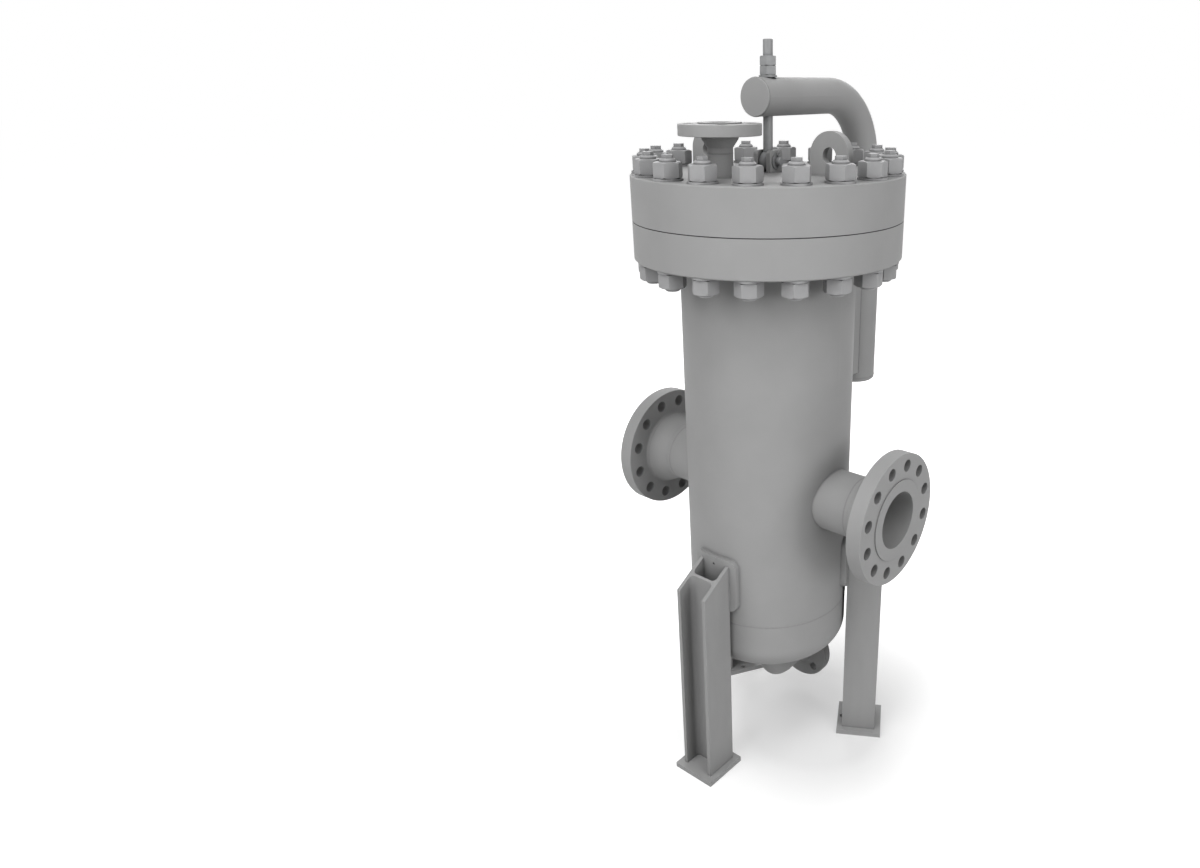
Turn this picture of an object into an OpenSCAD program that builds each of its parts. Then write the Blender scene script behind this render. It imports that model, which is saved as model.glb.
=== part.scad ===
// Cylinder sieve filter: an upright pressure vessel on three legs, with a bolted
// cover, a davit that carries the cover, and a wedge-wire sieve basket inside.
// Origin: on the floor, under the vessel axis. +Z up, +X along the inlet nozzle,
// +Y towards the davit. Millimetres.

/* [Vessel shell] */
// Outer diameter of the shell
shell_od = 457; // [420:1:480]
// Wall thickness of the shell and of the dished head
shell_wall = 25; // [16:1:30]
// Height of the weld seam between shell and head
seam_z = 477; // [460:1:500]
// Straight skirt of the head below the seam
head_skirt = 85; // [40:5:90]
// Knuckle radius of the head, as a part of the shell diameter
knuckle_ratio = 0.154; // [0.12:0.002:0.17]
// Crown radius of the head, as a part of the shell diameter
crown_ratio = 0.8; // [0.75:0.01:0.95]

/* [Cover joint] */
// Height of the face where the cover meets the body flange
joint_z = 1560; // [1500:5:1620]
// Outer diameter of the cover and the body flange
flange_od = 685; // [670:5:720]
// Thickness of the body flange
body_flange_t = 95; // [70:5:110]
// Thickness of the cover
cover_t = 110; // [80:5:130]
// Distance from the rim to a stud's axis
stud_edge = 37.5; // [34:0.5:42]
// Number of stud bolts
stud_count = 18; // [12:1:18]
// Hole for each stud bolt
stud_hole = 42; // [41:0.5:44]
// Bevel round the outer edges of the cover and the body flange
rim_bevel = 3; // [1:0.5:6]
// Bevel round the under edge of the body flange
under_bevel = 3; // [1:0.5:14]
// Bevel at the joint line
joint_bevel = 1.5; // [0.5:0.5:3]

/* [Cover gasket] */
// Distance from the vessel's bore out to the gasket groove
groove_edge = 11.5; // [8:0.5:20]
// Width of the gasket groove
groove_w = 20; // [12:1:30]
// Depth of the groove, and thickness of the pressed gasket
groove_depth = 4.5; // [3:0.5:8]
// Gap between the gasket and each groove wall
gasket_clear = 0.3; // [0.1:0.1:1]

/* [Stud bolts] */
// Diameter of a stud bolt
stud_d = 39; // [30:1:40]
// Width of a nut across its flats
nut_af = 60; // [56:1:62]
// Height of a nut
nut_h = 36; // [28:1:40]
// Thickness of a washer
washer_t = 5; // [3:0.5:8]
// Outer diameter of a washer
washer_od = 70; // [66:1:74]
// Radial clearance of a nut or washer round its stud
nut_clear = 0.3; // [0.1:0.1:0.8]
// Length of stud that shows beyond a nut, with its bevel
stud_show = 8; // [5:0.5:14]
// Bevel on each end of a stud
stud_bevel = 4; // [1:0.5:5]
// Width across flats of the hexagon on top of a stud
stub_af = 24; // [16:1:26]
// Height of the hexagon on top of a stud
stub_h = 8; // [6:1:16]

/* [Main nozzles] */
// Height of both nozzle axes
nozzle_z = 830; // [800:5:900]
// Distance from the vessel axis to a nozzle's raised face
nozzle_face = 425; // [415:5:500]
// Outer diameter of a nozzle pipe
nozzle_od = 168.3; // [150:0.1:170]
// Wall of a nozzle pipe
nozzle_wall = 8; // [6:0.5:12]
// Length by which the inlet pipe stands inside the vessel's wall
nozzle_project = 5; // [1:1:40]
// Bore of a nozzle flange
nozzle_bore = 154; // [130:1:156]
// Outer diameter of a nozzle flange
nozzle_flange_od = 355; // [345:5:380]
// Thickness of a nozzle flange, with its raised face
nozzle_flange_t = 44; // [36:1:50]
// Overall length of a nozzle flange and its hub
nozzle_flange_len = 115; // [100:1:130]
// Hub diameter at the back of the flange
nozzle_hub_od = 214; // [200:1:220]
// Diameter of the raised face
nozzle_face_od = 218; // [212:1:230]
// Bolt circle of a nozzle flange
nozzle_pcd = 290; // [285:1:300]
// Bolt holes of a nozzle flange
nozzle_holes = 12; // [8:4:12]
// Diameter of a nozzle flange's bolt hole
nozzle_hole_d = 33; // [26:1:34]

/* [Vent and drain] */
// Outer diameter of the vent and drain pipes
branch_od = 60.3; // [58:0.1:63]
// Bore of the vent and the drain
branch_bore = 50.3; // [44:0.1:52]
// Outer diameter of a branch flange
branch_flange_od = 195; // [180:5:200]
// Thickness of a branch flange, with its raised face
branch_flange_t = 29; // [24:1:32]
// Overall length of a branch flange and its hub
branch_flange_len = 68; // [60:1:75]
// Hub diameter at the back of a branch flange
branch_hub_od = 86; // [80:1:92]
// Diameter of a branch flange's raised face
branch_face_od = 102; // [95:1:106]
// Bolt circle of a branch flange
branch_pcd = 145; // [140:1:150]
// Bolt holes of a branch flange
branch_holes = 4; // [4:4:8]
// Diameter of a branch flange's bolt hole
branch_hole_d = 26; // [18:1:27]
// Height of every raised face
raised_face = 3; // [2:0.5:4]
// Distance from the stud circle in to the vent's axis
vent_inset = 126; // [126:1:135]
// Height of the vent's raised face above the cover
vent_rise = 123; // [110:1:160]
// Height of the drain axis
drain_z = 153; // [125:1:160]
// Distance from the vessel axis to the drain's raised face
drain_face = 200; // [185:5:260]
// Bend radius of the drain elbow
drain_bend = 76; // [62:1:80]

/* [Legs] */
// Number of legs
leg_count = 3; // [3:1:3]
// Height of the leg section, across the web
leg_h = 100; // [90:1:104]
// Flange width of the leg section
leg_b = 100; // [90:1:104]
// Web thickness of the leg section
leg_web = 6; // [4:0.5:8]
// Flange thickness of the leg section
leg_flange = 10; // [6:0.5:12]
// Root fillet of the leg section
leg_root = 12; // [6:1:15]
// Depth of a leg flange's edge that is cut away to seat on its pad
leg_seat = 2.2; // [1:0.2:6]
// Gap from a leg's top on the vessel side up to its pad's upper edge
leg_top_gap = 17; // [12:1:60]
// Slope of a leg's top cut
leg_slope = 31; // [15:1:40]
// Side of a square base plate
foot_side = 135; // [130:5:160]
// Thickness of a base plate
foot_t = 15; // [10:1:25]
// Distance from a leg's web out to the middle of its base plate
foot_shift = 1.5; // [0:0.5:5]
// Distance from a base plate's inner edge to its anchor hole
anchor_edge = 15; // [12:1:25]
// Diameter of an anchor hole
anchor_d = 18; // [12:1:20]
// Width of a leg pad round the shell
pad_w = 140; // [125:5:160]
// Height of a leg pad's lower edge
pad_z = 522; // [500:1:560]
// Height of a leg pad
pad_h = 160; // [150:5:170]
// Thickness of a leg pad
pad_t = 14; // [13:0.5:15]
// Corner radius of a leg pad
pad_r = 25; // [10:1:35]
// Vent hole of a leg pad
pad_hole = 7; // [4:0.5:10]
// Distance from a pad's upper edge to its vent hole
pad_hole_edge = 22; // [12:1:60]

/* [Davit] */
// Gap between the flange rim and the davit post's axis
davit_gap = 89.5; // [85:0.5:110]
// Outer diameter of the davit pipe
davit_od = 88.9; // [82:0.1:89]
// Wall of the davit pipe
davit_wall = 8; // [5:0.5:12]
// Bend radius of the davit pipe
davit_bend = 178; // [165:1:200]
// Height of the arm's axis above the cover
arm_rise = 175; // [170:1:200]
// Length of the arm beyond the jack screw
arm_tail = 47; // [35:1:50]
// Diameter of the plate that closes the arm
arm_cap_od = 88; // [76:1:88]
// Thickness of the plate that closes the arm
arm_cap_t = 5; // [3:1:10]
// Outer diameter of the socket tube
socket_od = 124; // [118:1:130]
// Radial clearance between post and socket
socket_clear = 1; // [0.5:0.1:1.5]
// Height of the socket's lower end
socket_z = 1023; // [980:1:1060]
// Gap from the socket's upper end up to the body flange
socket_top_gap = 25; // [10:5:60]
// Thickness of the socket floor
socket_floor_t = 12; // [8:1:20]
// Thickness of a bracket plate
bracket_t = 12; // [8:1:16]
// Distance between the outer faces of the two bracket plates
bracket_w = 88; // [70:2:92]
// Height of a bracket plate
bracket_h = 350; // [250:5:355]
// Gap from a bracket plate's upper edge up to the stud ends
bracket_top_gap = 10; // [5:1:30]

/* [Jack screw] */
// Diameter of the jack screw
jack_d = 24; // [20:1:25]
// Hole in the arm for the jack screw
jack_hole = 26; // [25.5:0.5:28]
// Width across flats of a jack nut
jack_af = 36; // [34:1:38]
// Height of a jack nut
jack_nut_h = 21.5; // [18:0.5:24]
// Outer diameter of the jack washer
jack_washer_od = 44; // [42:1:48]
// Thickness of the jack washer
jack_washer_t = 4; // [3:0.5:6]
// Radial clearance of a nut on the jack screw
jack_clear = 0.05; // [0.02:0.01:0.1]
// Length of screw above the upper jack nut
jack_show = 36.5; // [20:0.5:60]
// Diameter of the screw's ball eye
eye_d = 48; // [44:1:50]
// Width of the screw's eye
eye_w = 25; // [22:0.5:26]
// Height of the clevis pin above the cover
clevis_pin_z = 27; // [25:1:30]
// Diameter of the clevis pin
clevis_pin_d = 20; // [16:1:22]
// Gap between the two clevis ears
clevis_gap = 28; // [27:0.5:32]
// Thickness of a clevis ear
ear_t = 12; // [10:1:14]
// Width of a clevis ear
ear_w = 50; // [46:1:54]
// Height of a clevis ear
ear_h = 53; // [50:1:56]
// Rounding of a clevis ear's upper corners
ear_r = 10; // [4:1:16]

/* [Lifting lugs] */
// Distance from the stud circle in to a lug's middle
lug_inset = 115; // [105:5:135]
// Width of a lug
lug_w = 110; // [100:2:120]
// Thickness of a lug
lug_t = 20; // [14:1:24]
// Height of a lug's hole above the cover
lug_eye_z = 47.5; // [44:0.5:60]
// Diameter of a lug's hole
lug_hole = 38; // [30:1:46]

/* [Sieve basket] */
// Outer diameter of the sieve
sieve_od = 300; // [270:5:320]
// Height of the basket's top plate above the seat
sieve_h = 450; // [350:5:455]
// Pitch of the wedge wires
wire_pitch = 6; // [6:0.5:12]
// Outer width of a wedge wire
wire_w = 4.4; // [3:0.1:4.6]
// Inner width of a wedge wire
wire_tip = 1.2; // [0.8:0.1:2]
// Depth of a wedge wire
wire_depth = 5; // [3:0.5:7]
// Support rods round the sieve
rod_count = 24; // [12:2:32]
// Width of a support rod
rod_w = 4; // [3:0.5:6]
// Depth of a support rod
rod_depth = 9; // [6:0.5:12]
// Thickness of the basket's end plates
sieve_plate_t = 12; // [8:1:16]
// Outer diameter of the seat on the riser
seat_od = 210; // [200:2:240]
// Thickness of the seat
seat_t = 20; // [12:1:30]
// Bend radius of the riser inside the vessel
riser_bend = 152; // [140:1:170]
// Thickness of the basket's seal
sieve_seal_t = 3; // [2:0.5:5]
// Depth of the basket's spigot in the seat
spigot_h = 16; // [8:1:20]
// Radial clearance of the spigot in the seat
spigot_clear = 0.5; // [0.3:0.1:1]

/* [Basket spring and handles] */
// Wire of the hold-down spring
spring_wire = 8; // [5:0.5:10]
// Outer diameter of the hold-down spring
spring_od = 80; // [70:1:90]
// Turns of the hold-down spring
spring_turns = 6; // [4:1:8]
// Gap between the spring and the cover
spring_gap = 0.3; // [0.2:0.1:0.5]
// Rod of a basket handle
handle_d = 10; // [8:0.5:12]
// Half the width of a handle, to its rod's middle
handle_half_w = 50; // [40:1:54]
// Reach of a handle from its hinge
handle_reach = 78; // [60:1:80]
// Distance from the basket's axis to a handle's hinge
handle_y = 62; // [58:1:66]
// Height of a handle's hinge above the top plate
handle_z = 13; // [11:1:18]
// Corner radius of a handle
handle_r = 15; // [12:1:26]
// Radial clearance of a handle in its ears
handle_clear = 0.08; // [0.02:0.02:0.2]
// Side gap between a handle and an ear
handle_gap = 0.5; // [0.3:0.1:1]
// Thickness of a handle ear
handle_ear_t = 6; // [4:0.5:8]

/* [Hidden] */

eps = 0.01;
fine = 128;
medium = 64;
small = 32;

shell_id = shell_od - 2*shell_wall;
cover_z = joint_z + cover_t;
flange_under = joint_z - body_flange_t;
head_z = seam_z - head_skirt;
knuckle_r = knuckle_ratio*shell_od;
crown_r = crown_ratio*shell_od;
knuckle_x = shell_od/2 - knuckle_r;
crown_z = head_z + sqrt(pow(crown_r - knuckle_r, 2) - pow(knuckle_x, 2));
head_low = crown_z - crown_r;
groove_r = shell_id/2 + groove_edge;

pipe_bore = nozzle_od - 2*nozzle_wall;
inlet_end = sqrt(pow(shell_id/2, 2) - pow(nozzle_od/2, 2)) - nozzle_project;

stud_pcd = flange_od - 2*stud_edge;
bolt_step = 360/stud_count;
vent_y = stud_pcd/2 - vent_inset;
lug_x = stud_pcd/2 - lug_inset;
nut_turn = bolt_step/2 + 30;
nut_bore = stud_d + 2*nut_clear;
stud_low = flange_under - washer_t - nut_h - stud_show;
stud_high = cover_z + washer_t + nut_h + stud_show;

leg_angles = [for (i = [0:leg_count - 1]) -90 + i*360/leg_count];
pad_or = shell_od/2 + pad_t;
leg_r = sqrt(pow(pad_or, 2) - pow(leg_h/2 - leg_flange, 2)) - leg_seat + leg_b/2;
leg_top = pad_z + pad_h - leg_top_gap;
foot_r = leg_r + foot_shift;
anchor_r = foot_r - foot_side/2 + anchor_edge;

davit_y = flange_od/2 + davit_gap;
arm_z = cover_z + arm_rise;
post_z = socket_z + socket_floor_t;
socket_id = davit_od + 2*socket_clear;
socket_top = flange_under - socket_top_gap;
bracket_top = stud_low - bracket_top_gap;

jack_seat = arm_z + davit_od/2;
jack_nut_z = jack_seat + jack_washer_t;
lock_nut_z = jack_nut_z + jack_nut_h;
jack_top = lock_nut_z + jack_nut_h + jack_show;
pin_z = cover_z + clevis_pin_z;
ear_out = clevis_gap/2 + ear_t;
pin_head_t = 6;
pin_head_rim = 5;
pin_head_d = clevis_pin_d + 2*pin_head_rim;
pin_washer_t = 3;
pin_washer_rim = 8.5;
pin_washer_od = clevis_pin_d + 2*pin_washer_rim;
pin_tail = 13;
split_pin_d = 4;
pin_end = ear_out + pin_washer_t + pin_tail;
split_pin_x = ear_out + pin_washer_t + split_pin_d;

seat_top = nozzle_z + riser_bend + seat_t;
basket_z = seat_top + sieve_seal_t;
spigot_wall = 5;
basket_bore = nozzle_bore - 2*spigot_clear - 2*spigot_wall;
top_plate_z = seat_top + sieve_h - sieve_plate_t;
top_plate_top = top_plate_z + sieve_plate_t;
wire_or = sieve_od/2;
wire_ir = wire_or - wire_depth;
wire_z0 = basket_z + sieve_plate_t + wire_pitch/2;
wire_z1 = top_plate_z - wire_pitch/2;
wire_n = floor((wire_z1 - wire_z0)/wire_pitch) + 1;
cup_h = spring_wire;
spring_r = (spring_od - spring_wire)/2;
spring_h = joint_z - spring_gap - top_plate_top;
hinge_z = top_plate_top + handle_z;
ear_in_x = handle_half_w + handle_d/2 + handle_gap;
hinge_len = handle_half_w + handle_d/2 + handle_gap + handle_ear_t;

paint = "#9a9a9a";
bare = "#b4b6b8";
bright = "#c8cacc";
seal = "#3c3c3a";

// A round tube that stands on z = 0
module tube(od, id, h, fn = medium) {
    difference() {
        cylinder(d = od, h = h, $fn = fn);
        translate([0, 0, -eps]) cylinder(d = id, h = h + 2*eps, $fn = fn);
    }
}

// Copies its child round the vessel axis, on the stud circle
module on_stud_circle() {
    for (i = [0:stud_count - 1]) rotate([0, 0, i*bolt_step]) translate([stud_pcd/2, 0, 0]) children();
}

// Bolt holes along +Z, with a hole on each side of the X axis
module hole_ring(pcd, count, d, h) {
    for (i = [0:count - 1]) rotate([0, 0, (i + 0.5)*360/count])
        translate([pcd/2, 0, -eps]) cylinder(d = d, h = h + 2*eps, $fn = small);
}

// A hexagon nut with both ends bevelled, on z = 0
module hex_nut(af, h, bore) {
    corner = af/cos(30)/2;
    flat_r = af/2 - 0.5;
    slope_h = (corner + eps - flat_r)*tan(30);
    difference() {
        intersection() {
            cylinder(r = corner, h = h, $fn = 6);
            rotate_extrude($fn = medium)
                polygon([[0, 0], [flat_r, 0], [corner + eps, slope_h], [corner + eps, h - slope_h],
                         [flat_r, h], [0, h]]);
        }
        translate([0, 0, -eps]) cylinder(d = bore, h = h + 2*eps, $fn = small);
    }
}

// A welding-neck flange: raised face at z = 0, hub towards -Z
module neck_flange(od, t, len, hub, face_od, pipe_od, bore, pcd, holes, hole_d) {
    fillet = 8;
    neck = 12;
    difference() {
        rotate_extrude($fn = fine) difference() {
            union() {
                polygon([[bore/2, 0], [face_od/2, 0], [face_od/2, -raised_face], [od/2 - 1, -raised_face],
                         [od/2, -raised_face - 1], [od/2, 1 - t], [od/2 - 1, -t], [hub/2 + fillet, -t],
                         [hub/2, -t - fillet], [pipe_od/2, -len + neck], [pipe_od/2, -len], [bore/2, -len]]);
            }
            translate([hub/2 + fillet, -t - fillet]) circle(r = fillet, $fn = small);
        }
        translate([0, 0, -t]) hole_ring(pcd, holes, hole_d, t);
    }
}

module main_flange() {
    neck_flange(nozzle_flange_od, nozzle_flange_t, nozzle_flange_len, nozzle_hub_od, nozzle_face_od,
                nozzle_od, nozzle_bore, nozzle_pcd, nozzle_holes, nozzle_hole_d);
}

module branch_flange() {
    neck_flange(branch_flange_od, branch_flange_t, branch_flange_len, branch_hub_od, branch_face_od,
                branch_od, branch_bore, branch_pcd, branch_holes, branch_hole_d);
}

// Outline of a dished head, filled, below the tangent line z = head_z; shrunk by inset
module head_outline(inset) {
    depth = crown_z - head_low;
    wide = knuckle_x*(depth + head_skirt)/(crown_z - head_z);
    intersection() {
        union() {
            intersection() {
                translate([0, crown_z]) circle(r = crown_r - inset, $fn = fine);
                polygon([[0, crown_z], [0, crown_z - depth - head_skirt],
                         [wide, crown_z - depth - head_skirt]]);
            }
            translate([knuckle_x, head_z]) circle(r = knuckle_r - inset, $fn = fine);
        }
        translate([0, head_low - head_skirt]) square([shell_od, head_z - head_low + head_skirt]);
    }
}

module shell() {
    color(paint) difference() {
        translate([0, 0, seam_z]) tube(shell_od, shell_id, flange_under - seam_z, fine);
        translate([0, 0, nozzle_z]) rotate([0, 90, 0])
            cylinder(d = nozzle_od, h = 1.1*shell_od, center = true, $fn = medium);
    }
}

module bottom_head() {
    color(paint) difference() {
        union() {
            rotate_extrude($fn = fine) difference() {
                head_outline(0);
                head_outline(shell_wall);
            }
            translate([0, 0, head_z]) tube(shell_od, shell_id, head_skirt, fine);
        }
        translate([0, 0, head_low - shell_wall])
            cylinder(d = branch_od, h = 3*shell_wall, $fn = small);
    }
}

module body_flange() {
    r = flange_od/2;
    color(paint) difference() {
        rotate_extrude($fn = fine)
            polygon([[shell_id/2, flange_under], [r - under_bevel, flange_under],
                     [r, flange_under + under_bevel], [r, joint_z - joint_bevel],
                     [r - joint_bevel, joint_z], [groove_r + groove_w, joint_z],
                     [groove_r + groove_w, joint_z - groove_depth],
                     [groove_r, joint_z - groove_depth], [groove_r, joint_z],
                     [shell_id/2, joint_z]]);
        translate([0, 0, flange_under - eps]) on_stud_circle()
            cylinder(d = stud_hole, h = body_flange_t + 2*eps, $fn = small);
    }
}

module cover_gasket() {
    color(seal) translate([0, 0, joint_z - groove_depth])
        tube(2*(groove_r + groove_w - gasket_clear), 2*(groove_r + gasket_clear), groove_depth, fine);
}

// The inlet pipe goes through the wall and ends square inside it
module inlet_pipe() {
    color(paint) translate([inlet_end, 0, nozzle_z]) rotate([0, 90, 0])
        tube(nozzle_od, pipe_bore, nozzle_face - nozzle_flange_len - inlet_end);
}

module inlet_flange() {
    color(paint) translate([nozzle_face, 0, nozzle_z]) rotate([0, 90, 0]) main_flange();
}

// The outlet pipe runs on through the wall to the riser's bend
module outlet_pipe() {
    color(paint) translate([nozzle_flange_len - nozzle_face, 0, nozzle_z])
        rotate([0, 90, 0]) tube(nozzle_od, pipe_bore, nozzle_face - nozzle_flange_len - riser_bend);
}

module outlet_flange() {
    color(paint) translate([-nozzle_face, 0, nozzle_z]) rotate([0, -90, 0]) main_flange();
}

module outlet_riser() {
    color(bare) translate([-riser_bend, 0, nozzle_z + riser_bend]) rotate([-90, 0, 0])
        rotate_extrude(angle = 90, $fn = fine) translate([riser_bend, 0]) difference() {
            circle(d = nozzle_od, $fn = medium);
            circle(d = pipe_bore, $fn = medium);
        }
}

module sieve_seat() {
    color(bare) translate([0, 0, seat_top - seat_t]) tube(seat_od, nozzle_bore, seat_t, fine);
}

// Down from the head, round the bend and along +Y
module drain_run(d, more) {
    low = drain_z + drain_bend;
    translate([0, 0, low]) cylinder(d = d, h = head_low + shell_wall - low + more, $fn = medium);
    translate([0, drain_bend, low]) rotate([90, 0, -90]) rotate_extrude(angle = -90, $fn = fine)
        translate([drain_bend, 0]) circle(d = d, $fn = medium);
    translate([0, drain_bend, drain_z]) rotate([-90, 0, 0])
        cylinder(d = d, h = drain_face - branch_flange_len - drain_bend + more, $fn = medium);
}

module drain_elbow() {
    color(paint) difference() {
        drain_run(branch_od, 0);
        drain_run(branch_bore, 1);
    }
}

module drain_flange() {
    color(paint) translate([0, drain_face, drain_z]) rotate([-90, 0, 0]) branch_flange();
}

module davit_socket() {
    color(paint) translate([0, davit_y, post_z]) tube(socket_od, socket_id, socket_top - post_z);
}

module socket_floor() {
    r = socket_od/2;
    color(paint) translate([0, davit_y, socket_z]) rotate_extrude($fn = medium)
        polygon([[0, 0], [r - 5, 0], [r, 5], [r, socket_floor_t], [0, socket_floor_t]]);
}

module davit_brackets() {
    color(paint) difference() {
        for (side = [-1, 1])
            translate([side*(bracket_w - bracket_t)/2 - bracket_t/2, shell_id/2, bracket_top - bracket_h])
                cube([bracket_t, davit_y - shell_id/2, bracket_h]);
        translate([0, 0, bracket_top - bracket_h - 1])
            cylinder(d = shell_od, h = bracket_h + 2, $fn = fine);
        translate([0, davit_y, bracket_top - bracket_h - 1])
            cylinder(d = socket_od, h = bracket_h + 2, $fn = medium);
    }
}

// The section of a leg: web across the radius, one flange on each side of it
module leg_section() {
    inner_y = leg_h/2 - leg_flange;
    for (side = [-1, 1]) translate([-leg_b/2, side*(leg_h - leg_flange)/2 - leg_flange/2])
        square([leg_b, leg_flange]);
    translate([-leg_web/2, -inner_y - eps]) square([leg_web, 2*inner_y + 2*eps]);
    for (sx = [-1, 1], sy = [-1, 1]) scale([sx, sy]) difference() {
        translate([leg_web/2 - eps, inner_y - leg_root]) square([leg_root + eps, leg_root + eps]);
        translate([leg_web/2 + leg_root, inner_y - leg_root]) circle(r = leg_root, $fn = medium);
    }
}

module leg() {
    difference() {
        translate([leg_r, 0, foot_t]) linear_extrude(leg_top - foot_t) leg_section();
        translate([leg_r - leg_b/2, -leg_h, leg_top]) rotate([0, leg_slope, 0])
            translate([-leg_b, 0, 0]) cube([3*leg_b, 2*leg_h, 2*leg_b]);
        translate([0, 0, pad_z]) cylinder(r = pad_or, h = leg_top, $fn = fine);
    }
}

module leg_front() { color(paint) rotate([0, 0, leg_angles[0]]) leg(); }
module leg_right() { color(paint) rotate([0, 0, leg_angles[1]]) leg(); }
module leg_left() { color(paint) rotate([0, 0, leg_angles[2]]) leg(); }

module foot() {
    difference() {
        translate([foot_r - foot_side/2, -foot_side/2, 0]) cube([foot_side, foot_side, foot_t]);
        translate([anchor_r, 0, -eps]) cylinder(d = anchor_d, h = foot_t + 2*eps, $fn = small);
    }
}

module foot_front() { color(paint) rotate([0, 0, leg_angles[0]]) foot(); }
module foot_right() { color(paint) rotate([0, 0, leg_angles[1]]) foot(); }
module foot_left() { color(paint) rotate([0, 0, leg_angles[2]]) foot(); }

// Rounded outline of a leg pad, in the plane across the radius
module pad_outline() {
    x = pad_w/2 - pad_r;
    translate([-pad_h/2, -x]) square([pad_h, 2*x]);
    translate([-pad_h/2 + pad_r, -pad_w/2]) square([pad_h - 2*pad_r, pad_w]);
    for (sx = [-1, 1], sy = [-1, 1]) translate([sx*(pad_h/2 - pad_r), sy*x]) circle(r = pad_r, $fn = small);
}

module pad() {
    translate([0, 0, pad_z + pad_h/2]) difference() {
        intersection() {
            translate([0, 0, -pad_h]) tube(2*pad_or, shell_od, 2*pad_h, fine);
            rotate([0, 90, 0]) linear_extrude(2*pad_or) pad_outline();
        }
        translate([0, 0, pad_h/2 - pad_hole_edge]) rotate([0, 90, 0])
            cylinder(d = pad_hole, h = 2*pad_or, $fn = small);
    }
}

module pad_front() { color(paint) rotate([0, 0, leg_angles[0]]) pad(); }
module pad_right() { color(paint) rotate([0, 0, leg_angles[1]]) pad(); }
module pad_left() { color(paint) rotate([0, 0, leg_angles[2]]) pad(); }

module stud_bolts() {
    r = stud_d/2;
    color(bare) on_stud_circle() {
        rotate_extrude($fn = small)
            polygon([[0, stud_low], [r - stud_bevel, stud_low], [r, stud_low + stud_bevel],
                     [r, stud_high - stud_bevel], [r - stud_bevel, stud_high], [0, stud_high]]);
        translate([0, 0, stud_high - eps]) rotate([0, 0, nut_turn])
            cylinder(d = stub_af/cos(30), h = stub_h + eps, $fn = 6);
    }
}

module lower_nuts() {
    color(bare) translate([0, 0, flange_under - washer_t - nut_h]) on_stud_circle()
        rotate([0, 0, nut_turn]) hex_nut(nut_af, nut_h, nut_bore);
}

module lower_washers() {
    color(bare) translate([0, 0, flange_under - washer_t]) on_stud_circle()
        tube(washer_od, nut_bore, washer_t, small);
}

module cover_plate() {
    r = flange_od/2;
    color(paint) difference() {
        rotate_extrude($fn = fine)
            polygon([[0, joint_z], [r - joint_bevel, joint_z], [r, joint_z + joint_bevel],
                     [r, cover_z - rim_bevel], [r - rim_bevel, cover_z], [0, cover_z]]);
        translate([0, 0, joint_z - eps]) on_stud_circle()
            cylinder(d = stud_hole, h = cover_t + 2*eps, $fn = small);
        translate([0, -vent_y, joint_z - eps]) cylinder(d = branch_bore, h = cover_t + 2*eps, $fn = medium);
    }
}

module vent_pipe() {
    color(paint) translate([0, -vent_y, cover_z]) tube(branch_od, branch_bore, vent_rise - branch_flange_len);
}

module vent_flange() {
    color(paint) translate([0, -vent_y, cover_z + vent_rise]) branch_flange();
}

// An upright plate in the XZ plane with a round top and an eye in the middle of it
module lug() {
    rotate([90, 0, 0]) linear_extrude(lug_t, center = true) difference() {
        union() {
            translate([-lug_w/2, 0]) square([lug_w, lug_eye_z]);
            translate([0, lug_eye_z]) intersection() {
                circle(d = lug_w, $fn = fine);
                translate([-lug_w, 0]) square(2*lug_w);
            }
        }
        translate([0, lug_eye_z]) circle(d = lug_hole, $fn = medium);
    }
}

module lug_right() { color(paint) translate([lug_x, 0, cover_z]) lug(); }
module lug_left() { color(paint) translate([-lug_x, 0, cover_z]) lug(); }

module clevis_ears() {
    color(paint) for (side = [-1, 1])
        translate([side*(clevis_gap + ear_t)/2, 0, cover_z]) rotate([90, 0, 90])
            linear_extrude(ear_t, center = true) difference() {
                union() {
                    translate([-ear_w/2, 0]) square([ear_w, ear_h - ear_r]);
                    translate([ear_r - ear_w/2, 0]) square([ear_w - 2*ear_r, ear_h]);
                    for (s = [-1, 1]) translate([s*(ear_w/2 - ear_r), ear_h - ear_r])
                        circle(r = ear_r, $fn = medium);
                }
                translate([0, clevis_pin_z]) circle(d = clevis_pin_d + 2*jack_clear, $fn = small);
            }
}

// Headed pin along +X, with a hole for the split pin
module clevis_pin() {
    r = clevis_pin_d/2;
    color(bright) translate([0, 0, pin_z]) difference() {
        rotate([0, 90, 0]) rotate_extrude($fn = medium)
            polygon([[0, -ear_out - pin_head_t], [pin_head_d/2 - 1, -ear_out - pin_head_t],
                     [pin_head_d/2, 1 - ear_out - pin_head_t], [pin_head_d/2, -ear_out], [r, -ear_out],
                     [r, pin_end - 2], [r - 2, pin_end], [0, pin_end]]);
        translate([split_pin_x, 0, -clevis_pin_d])
            cylinder(d = split_pin_d + 2*jack_clear, h = 2*clevis_pin_d, $fn = small);
    }
}

module clevis_washer() {
    color(bright) translate([ear_out, 0, pin_z]) rotate([0, 90, 0])
        tube(pin_washer_od, clevis_pin_d + 2*jack_clear, pin_washer_t);
}

module split_pin() {
    eye_r = split_pin_d;
    color(bright) translate([split_pin_x, 0, pin_z]) {
        translate([0, 0, -clevis_pin_d/2 - 6])
            cylinder(d = split_pin_d, h = clevis_pin_d + 10, $fn = small);
        translate([0, 0, clevis_pin_d/2 + 4 + eye_r]) rotate([0, 90, 0])
            rotate_extrude($fn = small) translate([eye_r, 0]) circle(d = split_pin_d/2, $fn = small);
    }
}

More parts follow.
